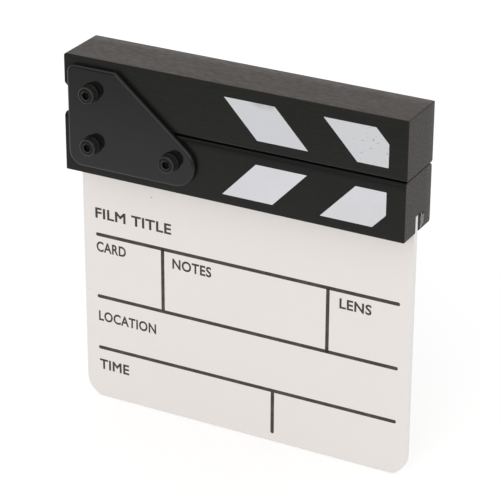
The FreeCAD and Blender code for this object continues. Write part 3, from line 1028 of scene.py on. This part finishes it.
# %% Turn the screw
KNURL_RIDGES = 36
KNURL_DEPTH = 0.16 * MM
SCREW_SIDES = 2 * KNURL_RIDGES
SIDES_PER_FLAT = SCREW_SIDES // 6
THREAD_RADIUS = 2.0 * MM
HEAD_ROUND = 0.75 * MM
ROUND_STEPS = 6
HEAD_FOOT = 0.15 * MM
SOCKET_FLATS = 3.0 * MM
SOCKET_DEPTH = 1.8 * MM
MOUTH_DEPTH = 0.3 * MM
DRILL_POINT = 0.45 * MM
DRILL_TIP = 0.05 * MM
SMOOTH_ANGLE = math.radians(28.0)
screw_low, screw_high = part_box("pivot_screw")
head_front = screw_low.y
head_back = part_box("pivot_spring_washer")[0].y
head_radius = (screw_high.x - screw_low.x) / 2
shank_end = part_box("rear_hinge_plate")[1].y
socket_corner = SOCKET_FLATS / math.sqrt(3.0)
mouth_radius = socket_corner + MOUTH_DEPTH
socket_floor = head_front + SOCKET_DEPTH

head_round = []
for step in range(ROUND_STEPS + 1):
    turn = step / ROUND_STEPS * math.pi / 2
    level = head_front + HEAD_ROUND * (1.0 - math.sin(turn))
    head_round.append((head_radius - HEAD_ROUND * (1.0 - math.cos(turn)), level))

screw = turn_on_lathe(
    "screw_master",
    [
        (THREAD_RADIUS, shank_end),
        (THREAD_RADIUS, head_back),
        (head_radius - HEAD_FOOT, head_back),
        (head_radius, head_back - HEAD_FOOT),
        *head_round,
        (mouth_radius, head_front),
        (socket_corner, head_front + MOUTH_DEPTH),
        (socket_corner, socket_floor),
        (DRILL_TIP, socket_floor + DRILL_POINT),
    ],
    SCREW_SIDES,
)
print("the screw's head is", round(2 * head_radius / MM, 2), "mm wide")


# %% Shape the screw's head
def in_socket(spot):
    """Whether a corner of the turned blank belongs to the wall of the socket."""
    return abs(radius_of(spot) - socket_corner) < TOUCH and spot.y > head_front + TOUCH


def hexagon_share(column):
    """How far a hexagon's edge lies from its middle at that column, as a share of its corner."""
    from_flat = (column % SIDES_PER_FLAT - SIDES_PER_FLAT / 2) / SCREW_SIDES * math.tau
    return math.cos(math.pi / 6) / math.cos(from_flat)


for column in range(1, SIDES_PER_FLAT):
    pick(screw, "VERT", lambda v: in_socket(v) and column_of(v, SCREW_SIDES) % SIDES_PER_FLAT == column)
    flat = hexagon_share(column)
    bpy.ops.transform.resize(value=(flat, 1.0, flat), center_override=(0.0, 0.0, 0.0))

pick(screw, "VERT", lambda v: radius_of(v) > head_radius - TOUCH and column_of(v, SCREW_SIDES) % 2 == 1)
knurled = 1.0 - KNURL_DEPTH / head_radius
bpy.ops.transform.resize(value=(knurled, 1.0, knurled), center_override=(0.0, 0.0, 0.0))
end(screw)
say(screw)

# %% [markdown]
# The thread shows where the screw stands out of its nut. It is a ridge that winds round a core. The
# Screw modifier winds it: the ridge's section goes round the Y axis and climbs one pitch per turn.
# The core and the ridge are joined, and then only what lies inside a chamfered bar is kept, because
# a real thread is cut into a bar like that and runs out at its chamfer.

# %% Wind the thread
THREAD_PITCH = 0.7 * MM
THREAD_CORE = 1.57 * MM
RIDGE_ROOT = 1.45 * MM
RIDGE_CREST = 2.05 * MM
RIDGE_FOOT = 0.62 * MM
RIDGE_TOP_SHARE = 0.18
THREAD_TURNS = 9
TURN_STEPS = 36
ridge_start = shank_end + THREAD_PITCH

ridge = begin(
    "thread_ridge",
    bpy.ops.mesh.primitive_plane_add,
    size=RIDGE_CREST - RIDGE_ROOT,
    location=((RIDGE_ROOT + RIDGE_CREST) / 2, ridge_start, 0.0),
)
foot_scale = RIDGE_FOOT / (RIDGE_CREST - RIDGE_ROOT)
bpy.ops.transform.resize(value=(1.0, foot_scale, 1.0), center_override=(0.0, ridge_start, 0.0))
pick(ridge, "VERT", lambda v: v.x > RIDGE_CREST - TOUCH)
bpy.ops.transform.resize(value=(1.0, RIDGE_TOP_SHARE, 1.0), center_override=(0.0, ridge_start, 0.0))
bpy.ops.mesh.select_all(action="SELECT")
bpy.ops.mesh.delete(type="ONLY_FACE")
bpy.ops.object.mode_set(mode="OBJECT")
winding = ridge.modifiers.new("winding", "SCREW")
winding.axis = "Y"
winding.angle = math.tau
winding.screw_offset = THREAD_PITCH
winding.iterations = THREAD_TURNS
winding.steps = TURN_STEPS
winding.render_steps = TURN_STEPS
bpy.ops.object.modifier_apply(modifier=winding.name)
bpy.ops.object.mode_set(mode="EDIT")
bpy.ops.mesh.select_all(action="SELECT")
bpy.ops.mesh.fill_holes(sides=4)
end(ridge)
say(ridge)

# %% Join the thread to the screw
TIP_CHAMFER = 0.5 * MM
CORE_BITE = 1.0 * MM
thread_end = screw_high.y
core_end = thread_end + THREAD_PITCH
core_outline = [(THREAD_CORE, shank_end - CORE_BITE), (THREAD_CORE, core_end)]
core = end(turn_on_lathe("thread_core", core_outline, TURN_STEPS))
bar_outline = [
    (THREAD_RADIUS, shank_end - 2 * CORE_BITE),
    (THREAD_RADIUS, thread_end - TIP_CHAMFER),
    (THREAD_RADIUS - TIP_CHAMFER, thread_end),
]
bar = end(turn_on_lathe("thread_bar", bar_outline, SCREW_SIDES))
combine(core, "UNION", ridge)
combine(core, "INTERSECT", bar)
say(core)
combine(screw, "UNION", core)
say(screw)

# %% [markdown]
# The spring washers are a turn of square wire, cut through at a slant and pressed flat under the head.
# A small plane is the wire's section. Its corners are rounded, its face is taken away so that only the
# outline is left, and a spin carries the outline round the axis, short of a full turn by the slit. The
# ends are then filled, and their front halves are pushed along so that the slit leans.

# %% Bend the spring washer
SLIT_WIDTH = 0.8 * MM
RING_STEPS = 72
SECTION_STEPS = 2
BORE_RADIUS = 2.15 * MM
SPRING_EDGE = 0.15 * MM


def spin_ring(name, inner, outer, low, high, edge, angle):
    """A ring about the Y axis whose section is a rectangle with rounded corners, left in edit mode."""
    spot = (-(inner + outer) / 2, (low + high) / 2, 0.0)
    piece = begin(name, bpy.ops.mesh.primitive_plane_add, size=outer - inner, location=spot)
    bpy.ops.transform.resize(value=(1.0, (high - low) / (outer - inner), 1.0), center_override=spot)
    bpy.ops.mesh.bevel(offset=edge, segments=SECTION_STEPS, affect="VERTICES")
    bpy.ops.mesh.select_all(action="SELECT")
    bpy.ops.mesh.delete(type="ONLY_FACE")
    bpy.ops.mesh.select_all(action="SELECT")
    bpy.ops.mesh.spin(steps=RING_STEPS, angle=angle, center=(0.0, 0.0, 0.0), axis=(0.0, 1.0, 0.0))
    return piece


spring_low, spring_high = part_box("pivot_spring_washer")
spring_radius = (spring_high.z - spring_low.z) / 2
slit_angle = SLIT_WIDTH / spring_radius
spring = spin_ring(
    "spring_washer_master",
    BORE_RADIUS,
    spring_radius,
    spring_low.y,
    spring_high.y,
    SPRING_EDGE,
    math.tau - slit_angle,
)
bpy.ops.mesh.select_all(action="SELECT")
bpy.ops.mesh.fill_holes(sides=0)
end(spring)
say(spring)

# %% Lean the spring washer's slit
SLIT_LEAN = 0.22 * MM
spring.rotation_euler.y = slit_angle / 2
settle()
bpy.ops.object.mode_set(mode="EDIT")
spring_middle = (spring_low.y + spring_high.y) / 2


def at_slit(spot):
    """Whether a corner of the ring lies at its cut ends."""
    return spot.x < 0.0 and abs(spot.z) < SLIT_WIDTH


pick(spring, "VERT", lambda v: at_slit(v) and v.y < spring_middle)
bpy.ops.transform.translate(value=(0.0, 0.0, SLIT_LEAN / 2))
pick(spring, "VERT", lambda v: at_slit(v) and v.y > spring_middle)
bpy.ops.transform.translate(value=(0.0, 0.0, -SLIT_LEAN / 2))
end(spring)
say(spring)

# %% [markdown]
# The flat washers are stamped from sheet and tumbled, so their rims are a little round. They are spun
# like the spring washers, but all the way round, and merging the doubles closes the seam.

# %% Stamp the flat washers
WASHER_EDGE = 0.12 * MM
washer_masters = {}
for side in ("front", "rear"):
    washer_low, washer_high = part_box(f"pivot_{side}_washer")
    washer = spin_ring(
        f"{side}_washer_master",
        BORE_RADIUS,
        (washer_high.x - washer_low.x) / 2,
        washer_low.y,
        washer_high.y,
        WASHER_EDGE,
        math.tau,
    )
    washer_masters[side] = end(washer)
    say(washer)

# %% [markdown]
# The nuts. A hexagon nut is hexagon bar that was faced off on a lathe, which leaves a curved scallop
# on each flat. So a six-sided prism and a round blank with chamfered ends are made, and what they
# share is the nut. A drill with a flared shoulder then cuts the bore and its countersinks.

# %% Cut the nut
NUT_FLATS = 7.0 * MM
NUT_FACE_SHARE = 0.95
NUT_CHAMFER_RISE = math.tan(math.radians(30.0))
NUT_OVERRUN = 0.6 * MM
NUT_BORE = 2.05 * MM
NUT_FLARE = 0.3 * MM
BLANK_SIDES = 96
BORE_SIDES = 48
nut_low, nut_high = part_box("pivot_nut")
nut_corner = NUT_FLATS / math.sqrt(3.0)
face_radius = NUT_FLATS / 2 * NUT_FACE_SHARE
blank_radius = nut_corner + NUT_OVERRUN
chamfer_rise = (blank_radius - face_radius) * NUT_CHAMFER_RISE
nut = begin(
    "nut_master",
    bpy.ops.mesh.primitive_cylinder_add,
    vertices=6,
    radius=nut_corner,
    depth=nut_high.y - nut_low.y + 2 * NUT_OVERRUN,
    location=(0.0, (nut_low.y + nut_high.y) / 2, 0.0),
    rotation=(math.pi / 2, math.pi / 6, 0.0),
)
end(nut)
blank_outline = [
    (face_radius, nut_low.y),
    (blank_radius, nut_low.y + chamfer_rise),
    (blank_radius, nut_high.y - chamfer_rise),
    (face_radius, nut_high.y),
]
combine(nut, "INTERSECT", end(turn_on_lathe("nut_blank", blank_outline, BLANK_SIDES)))
drill_outline = [
    (NUT_BORE + NUT_FLARE + NUT_OVERRUN, nut_low.y - NUT_OVERRUN),
    (NUT_BORE, nut_low.y + NUT_FLARE),
    (NUT_BORE, nut_high.y - NUT_FLARE),
    (NUT_BORE + NUT_FLARE + NUT_OVERRUN, nut_high.y + NUT_OVERRUN),
]
combine(nut, "DIFFERENCE", end(turn_on_lathe("nut_drill", drill_outline, BORE_SIDES)))
say(nut)

# %% [markdown]
# Fitting. The fasteners get their finishes first, and the walls of the screw's socket get the soot black,
# a painted shade for the recess. The mouth of the socket stays with the rest of the head, where keys rub
# it bright and the painted highlight of the rims reaches it.
# Then each of the three holes takes a copy of every fastener with a mesh of its own. No two screws stop
# at the same angle when they are tightened, so the copies are turned about the hole's axis before their
# place goes into the mesh. They stand for the plain solids at the same places.

# %% Blacken the fasteners
for master in (screw, spring, nut):
    coat(master, fastener_finish)
for master in washer_masters.values():
    coat(master, soot_and_shade_finish)
screw.data.materials.append(soot_and_shade_finish)
take(screw)
bpy.ops.object.mode_set(mode="EDIT")
socket_end = socket_floor + DRILL_POINT
mouth_end = head_front + MOUTH_DEPTH
# painted shade: the socket walls take the soot black, so that the recess is painted dark
pick(screw, "FACE", lambda f: radius_of(f) < mouth_radius and mouth_end < f.y < socket_end)
screw.active_material_index = 1
bpy.ops.object.material_slot_assign()
bpy.ops.object.mode_set(mode="OBJECT")
print("socket faces:", sum(face.material_index == 1 for face in screw.data.polygons))

# %% Fit the fasteners
SCREW_TURNS = {"pivot": 20.0, "lower_left": 75.0, "lower_right": -40.0}
MASTERS = {
    "screw": screw,
    "spring_washer": spring,
    "front_washer": washer_masters["front"],
    "rear_washer": washer_masters["rear"],
    "nut": nut,
}


def fit_copy(master, name, hole, turn):
    """A copy of a fastener on the axis of a hole, turned about it."""
    take(master)
    bpy.ops.object.duplicate(linked=False)
    copy = bpy.context.object
    copy.name = name
    copy.location = (hole.x, 0.0, hole.z)
    copy.rotation_euler = (0.0, math.radians(turn), 0.0)
    settle()
    bpy.ops.object.shade_smooth_by_angle(angle=SMOOTH_ANGLE)
    return copy


for place_name, turn in SCREW_TURNS.items():
    hole = sum(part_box(f"{place_name}_screw"), Vector()) / 2
    for fastener, master in MASTERS.items():
        node_name = f"{place_name}_{fastener}"
        copy = fit_copy(master, f"{node_name}_detailed", hole, turn)
        wear(copy, None, "slate")
        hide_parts(node_name)
for master in MASTERS.values():
    bpy.data.objects.remove(master)

# %% [markdown]
# The smear. The sawn end of the lower stick is darker at the corner of the slot, and some of the glue
# was wiped over that corner when the board went in. Both are thin films with a ragged outline, so both are
# made alike: each corner of a flat ring is moved to its place on the end of the stick, and the film is
# extruded from it. The glue lies over the dark corner, so its film is the thicker one.

# %% Where the dark corner and the glue lie
RAGGED_OUTLINES = {
    "dark_slot_corner": (
        (1.9, 114.0), (2.6, 113.6), (3.6, 113.2), (4.4, 112.9), (5.6, 113.3), (6.4, 113.9), (5.6, 114.0),
        (5.0, 114.7), (4.3, 114.4), (3.8, 115.1), (3.2, 115.9), (2.5, 115.3), (1.9, 115.4),
    ),
    "glue_smear": (
        (2.2, 108.7), (3.3, 108.9), (4.3, 109.0), (5.2, 109.6), (5.7, 110.8), (5.5, 111.9), (6.1, 113.4),
        (5.4, 113.9), (4.7, 113.1), (4.0, 113.8), (3.1, 115.6), (2.7, 115.2), (3.2, 113.6), (2.8, 112.4),
        (3.1, 110.9), (2.3, 109.8),
    ),
}
RAGGED_THICKNESS = {"dark_slot_corner": 0.03 * MM, "glue_smear": 0.06 * MM}
RAGGED_BITE = 0.02 * MM
FAR_RING = 1.0
stick_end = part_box("lower_stick")[1].x
print("the stick ends at", round(stick_end / MM, 2), "mm")


# %% Darken the corner and wipe the glue
def ragged_film(name):
    """A thin film on the stick's end, whose corners are given across and up in millimetres."""
    spots = [Vector((stick_end - RAGGED_BITE, across * MM, up * MM)) for across, up in RAGGED_OUTLINES[name]]
    film = begin(
        name,
        bpy.ops.mesh.primitive_circle_add,
        vertices=len(spots),
        radius=FAR_RING,
        fill_type="NGON",
        rotation=(math.pi / 2, 0.0, math.pi / 2),
    )
    ring = [vertex.co.copy() for vertex in bmesh.from_edit_mesh(film.data).verts]
    for corner, spot in zip(ring, spots):
        pick(film, "VERT", lambda v: (v - corner).length < TOUCH)
        bpy.ops.transform.translate(value=spot - corner)
    bpy.ops.mesh.select_all(action="SELECT")
    extrude((RAGGED_THICKNESS[name] + RAGGED_BITE, 0.0, 0.0))
    return end(film)


# a soot-black film that makes the end of the stick darker at the corner of the slot
wear(ragged_film("dark_slot_corner"), soot_and_shade_finish, "slate")
wear(ragged_film("glue_smear"), glue_finish, "slate")
